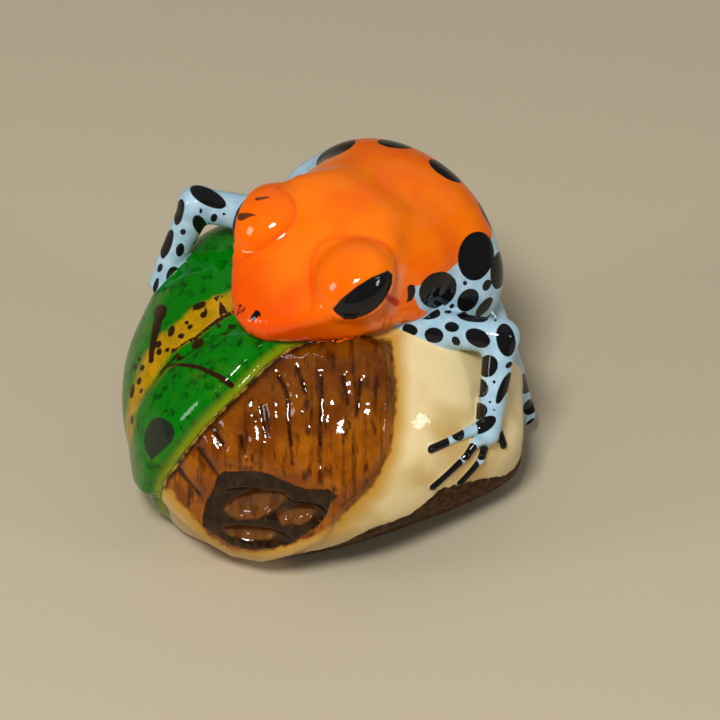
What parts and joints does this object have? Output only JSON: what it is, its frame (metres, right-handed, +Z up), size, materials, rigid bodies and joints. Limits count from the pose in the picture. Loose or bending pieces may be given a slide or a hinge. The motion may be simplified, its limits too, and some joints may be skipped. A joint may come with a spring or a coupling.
{
  "type": "tagua nut frog carving",
  "caption": "Small painted and varnished figurine of a spotted poison dart frog on a leaf and seed husk, carved from one tagua nut.",
  "frame": {"origin": "middle of the bounding box, on the surface the nut's flat foot stands on", "axes": "+Z up; the picture looks along +Y from above, with +X to its right; the frog's nose points towards -X and -Y"},
  "size_m": [0.048, 0.045, 0.0408],
  "materials": {
    "tagua": "tagua nut, dyed and painted, under a thick glossy varnish"
  },
  "bodies": {
    "root": {"frog_carving": "tagua"}
  },
  "joints": []
}
